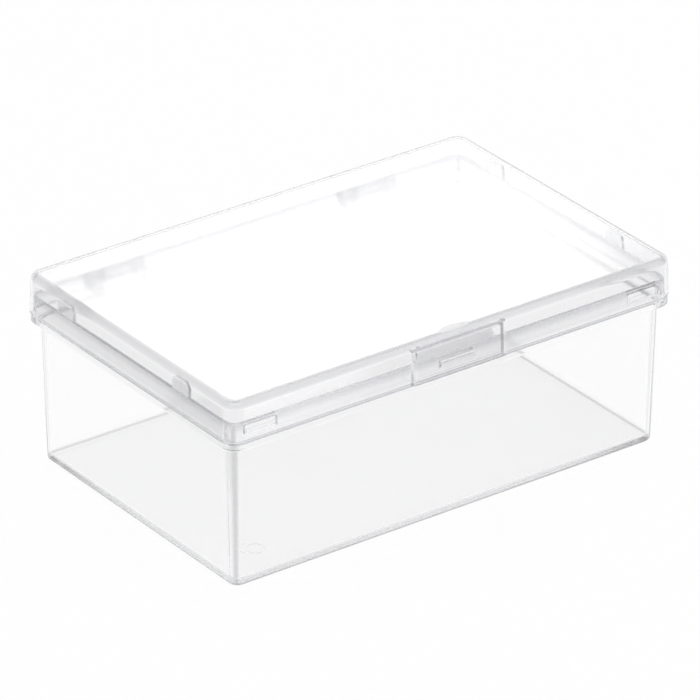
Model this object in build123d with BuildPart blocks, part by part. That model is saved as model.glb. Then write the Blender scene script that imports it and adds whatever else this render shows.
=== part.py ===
from build123d import *
import os
from math import atan2, cos, degrees, radians, sin

# A clear moulded storage box: an open tray, and a lid that turns on two pins along the back edge.
# Millimetres, +Z up, X along the long side, -Y the front with the thumb catch.
# The origin is the centre of the tray's underside, on the surface that the box stands on.

# The closed box
box_length = 170.0  # over the lower edge of the lid's skirt
box_width = 111.6  # the same from front to back, without the thumb catch and the hinges
box_height = 65.4  # from the table to the top of the lid
lid_height = 13.35  # from the skirt's lower edge to the top
joint_gap = 0.15  # between the skirt's lower edge and the step that it closes on
overrun = 1.0  # how far a cut runs past the face that it starts or ends at

# Lid
lid_draft = 0.6  # how far each side leans in from the skirt's lower edge to the top
lid_corner_radius = 5.2  # upright corners at the skirt's lower edge
lid_edge_radius = 2.4
lid_top_thickness = 1.4
lid_inner_radius = 1.8  # under the top, where it meets the skirt
skirt_edge_radius = 0.3  # around the skirt's lower outer edge
skirt_wall = 1.0

# Thumb catch: a raised panel in the middle of the skirt's front, hollow behind
catch_width = 36.0
catch_depth = 1.5  # how far it stands out of the skirt
catch_edge_radius = 1.3
catch_drop = 1.4  # from the lid's top down to the catch
catch_lip_rise = 0.3  # from the skirt's lower edge up to the lip inside the catch
catch_lip_height = 1.2
catch_lip_depth = 0.2

# Thumb scoop: a shallow dish in the top, behind the catch
scoop_width = 18.0  # along the top's front edge
scoop_length = 4.0  # from that edge back
scoop_depth = 0.8  # at the middle of its circle, which lies in front of the lid

# Tray
tray_wall = 1.6
tray_floor = 2.0
tray_draft = 1.1  # how far each wall leans in from the step to the foot
tray_corner_radius = 3.6  # upright corners at the foot
foot_radius = 1.8
floor_radius = 1.0  # inside, between the floor and the walls
wall_inset = 2.7  # from the skirt's lower edge in to the wall under the step
step_height = 3.3
step_inset = 0.3  # from the skirt's lower edge in to the step's band
step_radius = 0.9  # around the step's lower edge
step_top_radius = 0.3
ledge_radius = 0.4  # inside, where the ledge behind the step meets the wall

# Collar: the part of the tray that the skirt closes over
collar_height = 6.1
collar_wall = 1.5
collar_gap = 0.4  # between the collar and the inside of the skirt
collar_radius = 0.5
slot_length = 12.0
slot_height = 3.4
slot_corner_radius = 0.5
slot_rise = 1.5  # from the step up to the slot
slot_inset = 12.1  # from each end of the box to the middle of the nearest slot
snap_bar_height = 1.2
snap_bar_depth = 0.15
snap_bar_end_gap = 0.3  # between the end of a snap bar and the end of its slot

# Tongue: the upright plate on the collar's front, behind the thumb catch
tongue_foot_width = 30.6
tongue_top_width = 27.4
tongue_rise = 4.8  # above the collar's rim
tongue_corner_radius = 1.5
hook_length = 13.0
hook_height = 3.5
hook_rise = 2.0  # from the step up to the hook
hook_slope_height = 1.2  # its upper and lower parts, which slope back
hook_clearance = 0.45  # from the hook to the inside of the catch

# Guide tabs: two on each short side, standing on the rim
tab_width = 8.5
tab_rise = 4.7
tab_corner_radius = 2.0
tab_front_inset = 28.0  # from the front to the middle of the front tab
tab_back_inset = 21.8  # the same from the back

# The tongue and the tabs are thinner than the collar that they stand on
plate_thickness = 1.0
plate_setback = 0.1  # from the collar's outer face in to theirs

# Hinges
hinge_inset = 36.0  # from each end of the box to the middle of the nearest hinge
knuckle_radius = 2.4
hinge_clearance = 0.3  # between the knuckles and the skirt
pin_radius = 1.0
pin_clearance = 0.05  # radial, in the lid's barrel
pin_end_gap = 0.3  # each end of the pin lies this far inside the ear's outer face
pin_chamfer = 0.2
barrel_length = 12.0
barrel_web_height = 5.0  # up the back of the skirt
ear_length = 4.0
ear_gap = 0.3  # between the barrel and each ear
stop_angle = 110.0
stop_gap = 0.05  # between the heel and the step when the lid is fully open
heel_drop = 0.4  # from the axis down to the heel's face when the lid is fully open
heel_height = 1.8

# Moulding mark: a shallow ring under the floor
mark_radius = 3.2
mark_line = 0.6
mark_depth = 0.2
mark_inset_x = 18.5  # from the foot's left edge
mark_inset_y = 16.0  # from the foot's front edge

# Levels
skirt_level = box_height - lid_height
joint_level = skirt_level - joint_gap
step_level = joint_level - step_height
rim_level = joint_level + collar_height
ledge_level = step_level + tray_wall
hinge_level = (skirt_level + joint_level) / 2

# Places and slopes that more than one piece uses
front_y = -box_width / 2
hinge_y = box_width / 2 + hinge_clearance + knuckle_radius
hinge_places = (hinge_inset - box_length / 2, box_length / 2 - hinge_inset)
collar_inset = skirt_wall + collar_gap
lid_slope = lid_draft / lid_height
lid_lean = degrees(atan2(lid_draft, lid_height))
tray_lean = degrees(atan2(tray_draft, step_level))
slot_places = (slot_inset - box_length / 2, box_length / 2 - slot_inset)
slot_middles = [(x, slot_rise + slot_height / 2) for x in slot_places]
tab_places = (tab_front_inset - box_width / 2, box_width / 2 - tab_back_inset)


def side_plane(x, y, inset):
    # A plane parallel to the outer face of the skirt, which leans in as it rises.
    # x and y are the middle of that side's lower edge. The plane lies inset behind it, faces out,
    # and has its origin at the level of the joint.
    side = Vector(x, y, 0).normalized()
    lean = radians(lid_lean)
    return Plane(
        origin=Vector(x, y, joint_level) - side * inset,
        x_dir=Vector(-side.Y, side.X, 0),
        z_dir=side * cos(lean) + Vector(0, 0, sin(lean)),
    )


def plate_face(foot_width, top_width, rise, corner_radius):
    # The outline of an upright plate. It starts at the step and narrows only above the rim.
    with BuildSketch(mode=Mode.PRIVATE) as plate:
        with BuildLine():
            Polyline(
                (-foot_width / 2, 0),
                (foot_width / 2, 0),
                (foot_width / 2, collar_height),
                (top_width / 2, collar_height + rise),
                (-top_width / 2, collar_height + rise),
                (-foot_width / 2, collar_height),
                close=True,
            )
        make_face()
        fillet(plate.vertices().group_by(Axis.Y)[-1], corner_radius)
    return plate.sketch


def hinge_pin(x):
    # A plain pin along the hinge's axis, with bevelled ends.
    with BuildPart() as pin:
        with BuildSketch(Plane.YZ.offset(x)):
            with Locations((hinge_y, hinge_level)):
                Circle(pin_radius)
        extrude(amount=barrel_length / 2 + ear_gap + ear_length - pin_end_gap, both=True)
        chamfer(pin.edges().filter_by(GeomType.CIRCLE), pin_chamfer)
    return pin.part


# Tray
foot_length = box_length - 2 * (wall_inset + tray_draft)
foot_width = box_width - 2 * (wall_inset + tray_draft)
step_back_y = box_width / 2 - step_inset
ear_offset = barrel_length / 2 + ear_gap + ear_length / 2
ear_places = [place + side * ear_offset for place in hinge_places for side in (-1, 1)]

with BuildPart() as tray:
    # The walls as one solid block, which widens upwards from a rounded foot
    with BuildSketch():
        RectangleRounded(foot_length, foot_width, tray_corner_radius)
    extrude(amount=step_level, taper=-tray_lean)
    fillet(tray.edges().group_by(Axis.Z)[0], foot_radius)

    # The step that the lid closes on, rounded underneath
    with BuildSketch(Plane.XY.offset(step_level)):
        RectangleRounded(
            box_length - 2 * step_inset,
            box_width - 2 * step_inset,
            lid_corner_radius - step_inset,
        )
    extrude(amount=step_height)
    fillet(tray.faces().sort_by(Axis.X)[-1].edges().sort_by(Axis.Z)[0], step_radius)
    fillet(tray.faces().sort_by(Axis.X)[-1].edges().sort_by(Axis.Z)[-1], step_top_radius)

    # The collar, which leans in as the skirt does
    with BuildSketch(Plane.XY.offset(joint_level)):
        RectangleRounded(
            box_length - 2 * collar_inset,
            box_width - 2 * collar_inset,
            lid_corner_radius - collar_inset,
        )
    extrude(amount=collar_height, taper=lid_lean)

    # The room inside the walls, up to the ledge behind the step
    with BuildSketch(Plane.XY.offset(ledge_level)):
        RectangleRounded(
            box_length - 2 * (wall_inset + tray_wall),
            box_width - 2 * (wall_inset + tray_wall),
            tray_corner_radius + tray_draft - tray_wall,
        )
    extrude(amount=tray_floor - ledge_level, taper=tray_lean, mode=Mode.SUBTRACT)
    fillet(tray.edges(Select.LAST).group_by(Axis.Z)[0], floor_radius)

    # The wider room inside the collar
    with BuildSketch(Plane.XY.offset(ledge_level)):
        RectangleRounded(
            box_length - 2 * (collar_inset + collar_wall),
            box_width - 2 * (collar_inset + collar_wall),
            lid_corner_radius - collar_inset - collar_wall,
        )
    extrude(amount=rim_level - ledge_level + overrun, mode=Mode.SUBTRACT)
    ledge = tray.faces(Select.LAST).sort_by(Axis.Z)[0]
    fillet(ledge.inner_wires()[0].edges(), ledge_radius)
    fillet(tray.edges().group_by(Axis.Z)[-1], collar_radius)

    # Two slots through the collar's front for the snap bars of the lid
    with BuildSketch(side_plane(0, front_y, collar_inset)):
        with Locations(*slot_middles):
            RectangleRounded(slot_length, slot_height, slot_corner_radius)
    extrude(amount=collar_wall + overrun, both=True, mode=Mode.SUBTRACT)

    # The tongue on the collar's front
    with BuildSketch(side_plane(0, front_y, collar_inset + plate_setback)):
        add(plate_face(tongue_foot_width, tongue_top_width, tongue_rise, tongue_corner_radius))
    extrude(amount=-plate_thickness)

    # The guide tabs on its short sides
    for end_x, turn in ((-box_length / 2, -1), (box_length / 2, 1)):
        with BuildSketch(side_plane(end_x, 0, collar_inset + plate_setback)):
            with Locations(*[(turn * y, 0) for y in tab_places]):
                add(plate_face(tab_width, tab_width, tab_rise, tab_corner_radius))
        extrude(amount=-plate_thickness)

    # The hook under the thumb catch, sloped above and below, so that the lip can ride over it
    collar_front_y = front_y + collar_inset
    hook_y = front_y - catch_depth + skirt_wall + hook_clearance
    hook_level = joint_level + hook_rise
    with BuildSketch(Plane.YZ):
        with BuildLine():
            Polyline(
                (collar_front_y + collar_wall / 2, hook_level),
                (collar_front_y + hook_rise * lid_slope, hook_level),
                (hook_y, hook_level + hook_slope_height),
                (hook_y, hook_level + hook_height - hook_slope_height),
                (collar_front_y + (hook_rise + hook_height) * lid_slope, hook_level + hook_height),
                (collar_front_y + collar_wall / 2, hook_level + hook_height),
                close=True,
            )
        make_face()
    extrude(amount=hook_length / 2, both=True)

    # Four hinge ears behind the step, bored for the pins
    with BuildSketch(*[Plane.YZ.offset(x) for x in ear_places]):
        with BuildLine():
            Polyline(
                (step_back_y - collar_wall / 2, joint_level),
                (hinge_y, joint_level),
                (hinge_y, hinge_level - knuckle_radius),
                (step_back_y - collar_wall / 2, step_level + step_radius),
                close=True,
            )
        make_face()
        with Locations((hinge_y, hinge_level)):
            Circle(knuckle_radius)
            Circle(pin_radius, mode=Mode.SUBTRACT)
    extrude(amount=ear_length / 2, both=True)

    # The ring-shaped moulding mark
    with BuildSketch():
        with Locations((mark_inset_x - foot_length / 2, mark_inset_y - foot_width / 2)):
            Circle(mark_radius)
            Circle(mark_radius - mark_line, mode=Mode.SUBTRACT)
    extrude(amount=mark_depth, mode=Mode.SUBTRACT)

tray.part.label = "tray"


# Lid
catch_height = lid_height - catch_drop
catch_front_y = front_y - catch_depth
heel_reach = hinge_y - step_back_y - stop_gap
top_edge_y = front_y + lid_draft
scoop_circle = (scoop_width**2 / 4 + scoop_length**2) / (2 * scoop_length)
scoop_radius = (scoop_circle**2 + scoop_depth**2) / (2 * scoop_depth)

with BuildPart() as lid:
    # The top and the skirt as one solid block, rounded around the top
    with BuildSketch(Plane.XY.offset(skirt_level)):
        RectangleRounded(box_length, box_width, lid_corner_radius)
    extrude(amount=lid_height, taper=lid_lean)
    fillet(lid.edges().group_by(Axis.Z)[-1], lid_edge_radius)
    fillet(lid.edges().group_by(Axis.Z)[0], skirt_edge_radius)

    # The thumb catch, rounded at its two ends and along its upper edge
    with BuildSketch(Plane.YZ):
        with BuildLine():
            Polyline(
                (front_y + lid_draft + skirt_wall, skirt_level),
                (catch_front_y, skirt_level),
                (catch_front_y + catch_height * lid_slope, skirt_level + catch_height),
                (front_y + lid_draft + skirt_wall, skirt_level + catch_height),
                close=True,
            )
        make_face()
    extrude(amount=catch_width / 2, both=True)
    catch_front = lid.faces().sort_by(Axis.Y)[0]
    fillet(catch_front.edges().sort_by(Axis.Z)[1:], catch_edge_radius)

    # The room inside the skirt
    with BuildSketch(Plane.XY.offset(skirt_level)):
        RectangleRounded(
            box_length - 2 * skirt_wall,
            box_width - 2 * skirt_wall,
            lid_corner_radius - skirt_wall,
        )
    extrude(amount=lid_height - lid_top_thickness, taper=lid_lean, mode=Mode.SUBTRACT)
    fillet(lid.edges(Select.LAST).group_by(Axis.Z)[-1], lid_inner_radius)

    # The hollow behind the thumb catch, open below
    catch_inside = side_plane(0, front_y, skirt_wall - catch_depth)
    with BuildSketch(catch_inside):
        with Locations((0, -overrun)):
            Rectangle(
                catch_width - 2 * skirt_wall,
                overrun + joint_gap + catch_height - skirt_wall,
                align=(Align.CENTER, Align.MIN),
            )
    extrude(amount=-(catch_depth + overrun), mode=Mode.SUBTRACT)

    # The lip inside it, below the hook
    with BuildSketch(catch_inside):
        with Locations((0, joint_gap + catch_lip_rise)):
            Rectangle(catch_width - 2 * skirt_wall, catch_lip_height, align=(Align.CENTER, Align.MIN))
    extrude(amount=catch_lip_depth, both=True)

    # A snap bar for each slot in the collar
    with BuildSketch(side_plane(0, front_y, skirt_wall)):
        with Locations(*slot_middles):
            Rectangle(slot_length - 2 * snap_bar_end_gap, snap_bar_height)
    extrude(amount=snap_bar_depth, both=True)

    # The thumb scoop
    with Locations((0, top_edge_y + scoop_length - scoop_circle, box_height - scoop_depth + scoop_radius)):
        Sphere(scoop_radius, mode=Mode.SUBTRACT)

    # Two hinge barrels on webs, each with a heel that stops the lid when it is fully open
    with BuildSketch(*[Plane.YZ.offset(x) for x in hinge_places]):
        with BuildLine():
            Polyline(
                (box_width / 2 - skirt_wall / 2, skirt_level),
                (hinge_y, skirt_level),
                (hinge_y, hinge_level + knuckle_radius),
                (box_width / 2 - skirt_wall / 2, skirt_level + barrel_web_height),
                close=True,
            )
        make_face()
        with Locations((hinge_y, hinge_level)):
            Circle(knuckle_radius)
        with Locations(Location((hinge_y, hinge_level, 0), (0, 0, stop_angle))):
            with Locations((-heel_reach, -heel_drop)):
                Rectangle(heel_reach - knuckle_radius / 2, heel_height, align=(Align.MIN, Align.MAX))
        with Locations((hinge_y, hinge_level)):
            Circle(pin_radius + pin_clearance, mode=Mode.SUBTRACT)
    extrude(amount=barrel_length / 2, both=True)

lid.part.label = "lid"


# Hinge pins
hinge_pin_left = hinge_pin(hinge_places[0])
hinge_pin_left.label = "hinge_pin_left"
hinge_pin_right = hinge_pin(hinge_places[1])
hinge_pin_right.label = "hinge_pin_right"

os.makedirs("parts", exist_ok=True)
export_step(tray.part, "parts/tray.step")
export_step(lid.part, "parts/lid.step")
export_step(hinge_pin_left, "parts/hinge_pin_left.step")
export_step(hinge_pin_right, "parts/hinge_pin_right.step")
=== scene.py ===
import math

import bpy
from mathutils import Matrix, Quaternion, Vector


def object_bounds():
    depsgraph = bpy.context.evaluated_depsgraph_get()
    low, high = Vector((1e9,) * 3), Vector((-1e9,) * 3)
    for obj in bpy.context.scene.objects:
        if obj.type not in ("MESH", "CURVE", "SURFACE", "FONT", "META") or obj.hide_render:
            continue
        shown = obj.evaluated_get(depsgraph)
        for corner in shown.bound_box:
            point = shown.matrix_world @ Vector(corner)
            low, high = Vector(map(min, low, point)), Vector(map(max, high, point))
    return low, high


# A clear moulded storage box with a hinged lid, on a white studio floor.
# Lengths are in metres, and a noise's scale is its repeats per metre.

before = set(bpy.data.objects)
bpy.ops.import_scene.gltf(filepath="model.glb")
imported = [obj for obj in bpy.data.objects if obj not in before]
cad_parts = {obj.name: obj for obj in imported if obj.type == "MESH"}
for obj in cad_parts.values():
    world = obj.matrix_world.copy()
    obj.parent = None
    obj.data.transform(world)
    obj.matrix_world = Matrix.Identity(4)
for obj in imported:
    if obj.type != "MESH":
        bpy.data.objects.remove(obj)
cadLow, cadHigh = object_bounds()
print("frame loaded:", ", ".join(sorted(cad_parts)))


def newMaterial(name):
    material = bpy.data.materials.new(name)
    material.use_nodes = True
    material.node_tree.nodes.clear()
    return material


def addNode(tree, kind, **settings):
    node = tree.nodes.new(kind)
    for key, value in settings.items():
        setattr(node, key, value)
    return node


# an input takes another node's output or a plain value
def feed(tree, socket, value):
    if isinstance(value, bpy.types.NodeSocket):
        tree.links.new(value, socket)
    else:
        socket.default_value = value


def calc(tree, operation, *values):
    node = addNode(tree, "ShaderNodeMath", operation=operation)
    for socket, value in zip(node.inputs, values):
        feed(tree, socket, value)
    return node.outputs[0]


def smoothStep(tree, value, start, end, low=0.0, high=1.0):
    node = addNode(tree, "ShaderNodeMapRange", interpolation_type="SMOOTHSTEP")
    parts = {"Value": value, "From Min": start, "From Max": end, "To Min": low, "To Max": high}
    for name, part in parts.items():
        feed(tree, node.inputs[name], part)
    return node.outputs["Result"]


def separate(tree, vector):
    node = addNode(tree, "ShaderNodeSeparateXYZ")
    tree.links.new(vector, node.inputs[0])
    return node.outputs


def mixShaders(tree, share, first, second):
    node = addNode(tree, "ShaderNodeMixShader")
    for socket, value in zip(node.inputs, (share, first, second)):
        feed(tree, socket, value)
    return node.outputs[0]


surfaceDetail = {
    "waveDetail": 1.0,
    "hazeDetail": 4.0,
    "hazeFrom": 0.42,  # the noise level where a hazy patch starts, and where it is full
    "hazeTo": 0.68,
    "scratchDetail": 3.0,
    "scratchFrom": 0.70,
    "scratchTo": 0.78,
    # turns of the scratches in degrees, and how their noise is stretched
    "scratchLays": ((24.0, (1.0, 0.05, 1.0)), (-61.0, (1.0, 0.08, 0.3))),
}


def mouldedSurfaceGroup(values):
    tree = bpy.data.node_groups.new("mouldedSurface", "ShaderNodeTree")
    for name in ("Gloss", "Haze", "Haze Scale", "Scratch", "Scratch Scale", "Wave Scale", "Seed",
                 "Satin", "Satin Height"):
        tree.interface.new_socket(name, in_out="INPUT", socket_type="NodeSocketFloat")
    for name in ("Roughness", "Height"):
        tree.interface.new_socket(name, in_out="OUTPUT", socket_type="NodeSocketFloat")
    given = addNode(tree, "NodeGroupInput").outputs
    result = addNode(tree, "NodeGroupOutput").inputs
    place = addNode(tree, "ShaderNodeTexCoord").outputs["Object"]

    def noise(vector, scale, detail):
        node = addNode(tree, "ShaderNodeTexNoise", noise_dimensions="4D")
        parts = {"Vector": vector, "W": given["Seed"], "Scale": scale, "Detail": detail}
        for name, part in parts.items():
            feed(tree, node.inputs[name], part)
        return node.outputs["Fac"]

    # slow waves of the moulding, which bend mirrored lines a little
    tree.links.new(noise(place, given["Wave Scale"], values["waveDetail"]), result["Height"])
    # cloudy patches where hands have dulled the gloss
    clouds = noise(place, given["Haze Scale"], values["hazeDetail"])
    patches = smoothStep(tree, clouds, values["hazeFrom"], values["hazeTo"])
    roughness = calc(tree, "MULTIPLY_ADD", patches, given["Haze"], given["Gloss"])
    # hairline scratches: long thin noise in two directions, of which only the crests stay
    crests = []
    for turn, stretch in values["scratchLays"]:
        lay = addNode(tree, "ShaderNodeMapping")
        lay.inputs["Rotation"].default_value = (0.0, 0.0, math.radians(turn))
        lay.inputs["Scale"].default_value = stretch
        tree.links.new(place, lay.inputs["Vector"])
        grain = noise(lay.outputs["Vector"], given["Scratch Scale"], values["scratchDetail"])
        crests.append(smoothStep(tree, grain, values["scratchFrom"], values["scratchTo"]))
    roughness = calc(tree, "MULTIPLY_ADD", calc(tree, "MAXIMUM", *crests), given["Scratch"], roughness)
    # the mould is satin up to one height, which keeps the tray's floor from mirroring sharply
    below = calc(tree, "LESS_THAN", separate(tree, place)["Z"], given["Satin Height"])
    tree.links.new(calc(tree, "MULTIPLY_ADD", below, given["Satin"], roughness), result["Roughness"])
    return tree


edgeSpread = {
    "levelFrom": 0.08,  # how far a surface turns from its axis where an edge starts, and where it is full
    "levelTo": 0.45,
    "uprightFrom": 0.40,
    "uprightTo": 0.65,
    "lostAboveLip": 0.55,  # share of the lip's painted shade that the tongue and the tabs above it lose
}


# painted shade in the base colour: rounded edges and the lip under the rim get a darker colour than the
# clear wall, standing in for the grey that refraction gives them
def paintedEdgeShadeGroup(values):
    tree = bpy.data.node_groups.new("edgeColor", "ShaderNodeTree")
    for name in ("Tint", "Level Edge", "Upright Edge", "Lip"):
        tree.interface.new_socket(name, in_out="INPUT", socket_type="NodeSocketColor")
    for name in ("Edge Height", "Edge Reach", "Lip Low", "Lip High"):
        tree.interface.new_socket(name, in_out="INPUT", socket_type="NodeSocketFloat")
    tree.interface.new_socket("Color", in_out="OUTPUT", socket_type="NodeSocketColor")
    tree.interface.new_socket("Roundness", in_out="OUTPUT", socket_type="NodeSocketFloat")
    given = addNode(tree, "NodeGroupInput").outputs
    result = addNode(tree, "NodeGroupOutput").inputs
    place = addNode(tree, "ShaderNodeTexCoord").outputs
    # a face of the box looks along one axis, and a rounded edge between two of them
    size = addNode(tree, "ShaderNodeVectorMath", operation="ABSOLUTE")
    tree.links.new(place["Normal"], size.inputs[0])
    facing = separate(tree, size.outputs["Vector"])
    sideways = calc(tree, "MAXIMUM", facing["X"], facing["Y"])
    tilted = calc(tree, "MINIMUM", facing["Z"], sideways)
    level = smoothStep(tree, tilted, values["levelFrom"], values["levelTo"])
    # painted shade: the upright rounded corners get a darker colour
    turned = calc(tree, "MINIMUM", facing["X"], facing["Y"])
    upright = smoothStep(tree, turned, values["uprightFrom"], values["uprightTo"])
    # painted shade: of the level edges, only those near one height are darker than the wall
    height = separate(tree, place["Object"])["Z"]
    near = calc(tree, "COMPARE", height, given["Edge Height"], given["Edge Reach"])
    darkLevel = calc(tree, "MULTIPLY", level, near)
    # painted shade: the lip under the rim is darker too, and all above it keeps a part of that
    above = calc(tree, "GREATER_THAN", height, given["Lip High"])
    lost = calc(tree, "MULTIPLY", above, values["lostAboveLip"])
    lip = calc(tree, "SUBTRACT", smoothStep(tree, height, given["Lip Low"], given["Lip High"]), lost)
    color = given["Tint"]
    for share, name in ((upright, "Upright Edge"), (darkLevel, "Level Edge"), (lip, "Lip")):
        blend = addNode(tree, "ShaderNodeMix", data_type="RGBA")
        # sockets 6 and 7 are the node's two colours, and output 2 is the mixed one
        for socket, value in ((0, share), (6, color), (7, given[name])):
            tree.links.new(value, blend.inputs[socket])
        color = blend.outputs[2]
    tree.links.new(color, result["Color"])
    tree.links.new(calc(tree, "MAXIMUM", level, upright), result["Roundness"])
    return tree


trayTint = (0.995, 0.995, 0.997, 1.0)  # what one wall lets through
lidTint = (0.975, 0.975, 0.982, 1.0)
trayFinish = {
    "tint": trayTint,
    "levelEdge": (0.47, 0.47, 0.48, 1.0),  # painted shade: the darker colour of a level rounded edge near one height
    "edgeHeight": cadLow[2],
    "edgeReach": 0.0019,
    # painted shade on the upright rounded corners
    "uprightEdge": (0.74, 0.74, 0.755, 1.0),
    "lip": (0.74, 0.74, 0.76, 1.0),  # painted shade on the lip under the rim, and the heights where it starts and is full
    "lipLow": 0.0540,
    "lipHigh": 0.05805,
    "edgeRoughness": 0.08,  # roughness that a rounded edge adds
    "ior": 1.49,
    "depthColor": (0.68, 0.71, 0.74, 1.0),  # the plastic's own colour in its depth
    "depthDensity": 3.0,
    "passed": (0.982, 0.983, 0.984, 1.0),  # what one surface lets through on the way to the floor
    "leaving": (0.85, 0.85, 0.86, 1.0),  # what is left of a ray that was inside the plastic for long
    "longest": 10.5,  # reflections inside the plastic before a ray leaves it
    "gloss": 0.015,  # roughness of the clean surface
    "haze": 0.02,  # roughness that hazy patches add, and then scratches
    "hazeScale": 18.0,
    "scratch": 0.10,
    "scratchScale": 60.0,
    "satin": 0.18,  # roughness added up to the satin height
    "satinHeight": 0.0025,
    "waveScale": 14.0,
    "waveDepth": 0.00008,
    "seed": 3.0,
}
# the lid has no lip, so its lip starts far above the box; its only painted shade is on the level edges near
# its top
lidFinish = dict(
    trayFinish, tint=lidTint, levelEdge=(0.81, 0.81, 0.825, 1.0), edgeHeight=cadHigh[2], edgeReach=0.0032,
    uprightEdge=lidTint, lip=lidTint, lipLow=0.9, lipHigh=1.0, edgeRoughness=0.10, satin=0.0, gloss=0.10,
    haze=0.03, scratch=0.16, waveDepth=0.00001, seed=11.0,
)
pinFinish = dict(
    trayFinish, levelEdge=trayTint, uprightEdge=trayTint, edgeRoughness=0.0, satin=0.0, gloss=0.03,
    scratch=0.05, waveDepth=0.00001, seed=19.0,
)


# each input of a group takes the finish's value of the same name
def fillGroup(node, finish):
    for socket in node.inputs:
        first, *others = socket.name.split()
        socket.default_value = finish[first.lower() + "".join(others)]


def clearPlasticMaterial(name, finish, surfaceGroup, edgeGroup):
    material = newMaterial(name)
    tree = material.node_tree
    link = tree.links.new
    output = addNode(tree, "ShaderNodeOutputMaterial")
    surface = addNode(tree, "ShaderNodeGroup", node_tree=surfaceGroup)
    edges = addNode(tree, "ShaderNodeGroup", node_tree=edgeGroup)
    fillGroup(surface, finish)
    fillGroup(edges, finish)
    bump = addNode(tree, "ShaderNodeBump")
    bump.inputs["Strength"].default_value = 1.0
    bump.inputs["Distance"].default_value = finish["waveDepth"]
    link(surface.outputs["Height"], bump.inputs["Height"])
    # the mould is polished less in its rounded edges
    roughness = calc(tree, "MULTIPLY_ADD", edges.outputs["Roundness"], finish["edgeRoughness"],
                     surface.outputs["Roughness"])
    plastic = addNode(tree, "ShaderNodeBsdfPrincipled")
    plastic.inputs["IOR"].default_value = finish["ior"]
    plastic.inputs["Transmission Weight"].default_value = 1.0
    # the base colour carries the painted edge and lip shade
    link(edges.outputs["Color"], plastic.inputs["Base Color"])
    link(roughness, plastic.inputs["Roughness"])
    link(bump.outputs["Normal"], plastic.inputs["Normal"])

    def transparent(color):
        node = addNode(tree, "ShaderNodeBsdfTransparent")
        node.inputs["Color"].default_value = color
        return node.outputs[0]

    # light that only passes through keeps straight on, so the floor gets a pale shadow
    path = addNode(tree, "ShaderNodeLightPath").outputs
    passing = calc(tree, "MAXIMUM", path["Is Shadow Ray"], path["Is Diffuse Ray"])
    shader = mixShaders(tree, passing, plastic.outputs[0], transparent(finish["passed"]))
    # a ray that the walls have sent to and fro many times leaves a little greyer
    tired = calc(tree, "GREATER_THAN", path["Ray Depth"], finish["longest"])
    shader = mixShaders(tree, tired, shader, transparent(finish["leaving"]))
    link(shader, output.inputs["Surface"])
    depth = addNode(tree, "ShaderNodeVolumeAbsorption")
    depth.inputs["Color"].default_value = finish["depthColor"]
    depth.inputs["Density"].default_value = finish["depthDensity"]
    link(depth.outputs[0], output.inputs["Volume"])
    return material


mouldedSurface = mouldedSurfaceGroup(surfaceDetail)
edgeColor = paintedEdgeShadeGroup(edgeSpread)
clearTray = clearPlasticMaterial("clearTray", trayFinish, mouldedSurface, edgeColor)
clearLid = clearPlasticMaterial("clearLid", lidFinish, mouldedSurface, edgeColor)
clearPin = clearPlasticMaterial("clearPin", pinFinish, mouldedSurface, edgeColor)
for nodeName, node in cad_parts.items():
    node.data.materials.clear()
    node.data.materials.append({"tray": clearTray, "lid": clearLid}.get(nodeName, clearPin))
print("clear plastic on", len(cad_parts), "nodes")


studioFloor = {
    "drop": 0.0002,  # how far the floor lies under the box
    "half": 12.0,
    "color": (0.95, 0.95, 0.95, 1.0),
    "roughness": 0.9,
    "white": 0.85,  # share of plain white in the floor, which thins the shadow
    "mirrored": 1.0,  # how bright the floor is where the walls mirror it
    # painted shade and painted light in strips on the floor, which only the skirt mirrors: how dark, or how
    # light below 0, then in x and y the middle, the half width and the soft edge
    "lightStrip": {"dark": -2.2, "x": (0.0085, 0.028, 0.020), "y": (-0.1750, 0.0045, 0.0015)},
    "leftStrip": {"dark": 0.78, "x": (-0.155, 0.014, 0.012), "y": (0.05, 0.10, 0.06)},
    "frontStrip": {"dark": 0.95, "x": (0.15, 0.06, 0.09), "y": (-0.158, 0.018, 0.008)},
}


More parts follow.
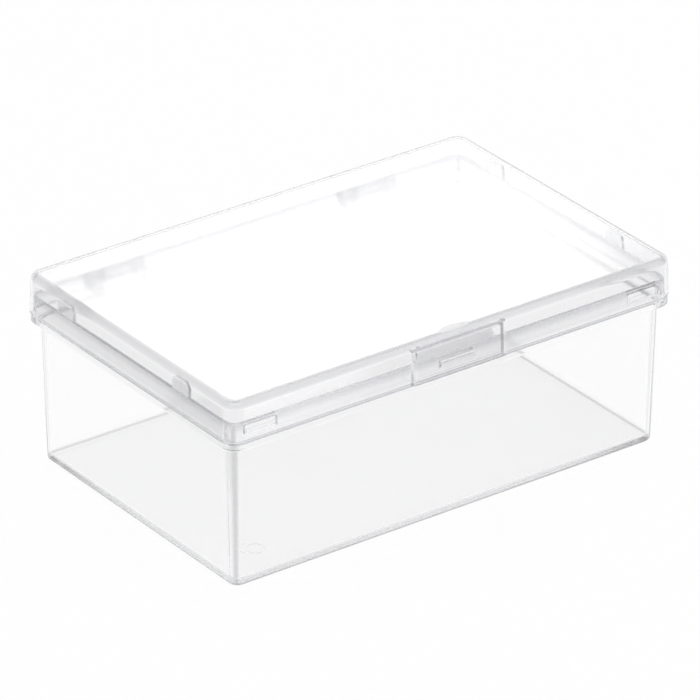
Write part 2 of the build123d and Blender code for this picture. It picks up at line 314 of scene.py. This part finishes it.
def buildFloor(values):
    half, z = values["half"], -values["drop"]
    corners = [(-half, -half, z), (half, -half, z), (half, half, z), (-half, half, z)]
    mesh = bpy.data.meshes.new("studioFloor")
    mesh.from_pydata(corners, [], [(0, 1, 2, 3)])
    floor = bpy.data.objects.new("studioFloor", mesh)
    bpy.context.scene.collection.objects.link(floor)
    material = newMaterial("whiteFloor")
    tree = material.node_tree
    output = addNode(tree, "ShaderNodeOutputMaterial")
    paint = addNode(tree, "ShaderNodeBsdfPrincipled")
    paint.inputs["Base Color"].default_value = values["color"]
    paint.inputs["Roughness"].default_value = values["roughness"]
    paint.inputs["Specular IOR Level"].default_value = 0.0
    path = addNode(tree, "ShaderNodeLightPath").outputs
    # seen straight or through the plastic, the floor is mostly plain white
    white = addNode(tree, "ShaderNodeEmission")
    seen = calc(tree, "MAXIMUM", path["Is Camera Ray"], path["Is Transmission Ray"])
    share = calc(tree, "MULTIPLY", seen, values["white"])
    plain = mixShaders(tree, share, paint.outputs[0], white.outputs[0])
    # painted reflections: mirrored in the plastic, the floor has two painted dark strips and a painted
    # light one that glows brighter than white, which set the rim and the skirt off
    spot = separate(tree, addNode(tree, "ShaderNodeTexCoord").outputs["Object"])

    def within(axis, middle, halfWidth, soft):
        distance = calc(tree, "ABSOLUTE", calc(tree, "SUBTRACT", spot[axis], middle))
        return smoothStep(tree, distance, halfWidth, halfWidth + soft, 1.0, 0.0)

    def strip(part):
        inside = calc(tree, "MULTIPLY", within("X", *part["x"]), within("Y", *part["y"]))
        return calc(tree, "MULTIPLY", inside, part["dark"])

    dark = calc(tree, "MAXIMUM", strip(values["leftStrip"]), strip(values["frontStrip"]))
    shade = calc(tree, "ADD", dark, strip(values["lightStrip"]))
    mirrored = addNode(tree, "ShaderNodeEmission")
    tree.links.new(calc(tree, "SUBTRACT", values["mirrored"], shade), mirrored.inputs["Strength"])
    wasMirrored = calc(tree, "MINIMUM", path["Glossy Depth"], 1.0)
    tree.links.new(mixShaders(tree, wasMirrored, plain, mirrored.outputs[0]), output.inputs["Surface"])
    mesh.materials.append(material)


studioSky = {
    "level": 0.86,  # what the sky lights with
    "ceiling": 0.42,  # the studio's ceiling, as the plastic shows it
    "ceilingFrom": 0.15,  # the sine of the height where it starts to darken, and where it is full
    "ceilingTo": 0.5,
}


def buildSky(values):
    world = bpy.data.worlds.new("studioSky")
    bpy.context.scene.world = world
    world.use_nodes = True
    tree = world.node_tree
    tree.nodes.clear()

    def background(color, strength=1.0):
        node = addNode(tree, "ShaderNodeBackground")
        feed(tree, node.inputs["Color"], color)
        node.inputs["Strength"].default_value = strength
        return node.outputs[0]

    white = (1.0, 1.0, 1.0, 1.0)
    # the plastic shows a white sweep that turns into a grey ceiling
    up = separate(tree, addNode(tree, "ShaderNodeTexCoord").outputs["Generated"])["Z"]
    sweep = smoothStep(tree, up, values["ceilingFrom"], values["ceilingTo"], 1.0, values["ceiling"])
    path = addNode(tree, "ShaderNodeLightPath").outputs
    plasticRay = calc(tree, "MAXIMUM", path["Is Glossy Ray"], path["Is Transmission Ray"])
    shader = mixShaders(tree, plasticRay, background(white, values["level"]), background(sweep))
    # and the camera sees plain white
    shader = mixShaders(tree, path["Is Camera Ray"], shader, background(white))
    output = addNode(tree, "ShaderNodeOutputWorld")
    tree.links.new(shader, output.inputs["Surface"])


softLamps = {
    "overheadSoftbox": {
        "place": (0.2, 0.1, 1.7), "aim": (0.0, 0.0, 0.0), "size": (1.8, 1.8), "power": 6.0,
        "mirroredOnly": False,
    },
    # the lid's top mirrors these two up to a narrow border, and they show in mirrored rays only
    "backSoftbox": {
        "place": (1.1625, 1.620, 1.09), "aim": (1.1625, 1.620, 0.0), "size": (0.425, 0.221), "power": 0.67,
        "mirroredOnly": True,
    },
    "backSoftboxCore": {
        "place": (1.1575, 1.618, 1.089), "aim": (1.1575, 1.618, 0.0), "size": (0.395, 0.206), "power": 0.77,
        "mirroredOnly": True,
    },
}


def addSoftLamp(name, values):
    data = bpy.data.lights.new(name, "AREA")
    data.shape = "RECTANGLE"
    data.size, data.size_y = values["size"]
    data.energy = values["power"]
    lamp = bpy.data.objects.new(name, data)
    bpy.context.scene.collection.objects.link(lamp)
    lamp.location = values["place"]
    lamp.rotation_mode = "QUATERNION"
    lamp.rotation_quaternion = (Vector(values["aim"]) - Vector(values["place"])).to_track_quat("-Z", "Y")
    if values["mirroredOnly"]:
        lamp.visible_diffuse = False
        lamp.visible_transmission = False


photoCamera = {
    "target": (0.004118, 0.005540, 0.031470),
    "azimuth": -36.223,
    "elevation": 27.592,
    "roll": 0.098,
    "distance": 2.186771,
    "lens": 358.71,
    "sensor": 36.0,
    "clip": (0.1, 50.0),
}


def buildCamera(values):
    azimuth, elevation = math.radians(values["azimuth"]), math.radians(values["elevation"])
    level = math.cos(elevation)
    back = Vector((math.sin(azimuth) * level, -math.cos(azimuth) * level, math.sin(elevation)))
    data = bpy.data.cameras.new("photoCamera")
    data.lens, data.sensor_width = values["lens"], values["sensor"]
    data.clip_start, data.clip_end = values["clip"]
    camera = bpy.data.objects.new("photoCamera", data)
    bpy.context.scene.collection.objects.link(camera)
    camera.location = Vector(values["target"]) + back * values["distance"]
    camera.rotation_mode = "QUATERNION"
    turn = (-back).to_track_quat("-Z", "Y")
    camera.rotation_quaternion = turn @ Quaternion((0, 0, 1), math.radians(values["roll"]))
    bpy.context.scene.camera = camera


# light runs far inside the clear walls
lightBounces = {
    "max_bounces": 24,
    "transmission_bounces": 24,
    "glossy_bounces": 24,
    "transparent_max_bounces": 32,
}

buildFloor(studioFloor)
buildSky(studioSky)
for lampName, lampValues in softLamps.items():
    addSoftLamp(lampName, lampValues)
buildCamera(photoCamera)
bpy.context.scene.view_settings.view_transform = "Standard"
for setting, count in lightBounces.items():
    setattr(bpy.context.scene.cycles, setting, count)
print("floor, light and camera ready")
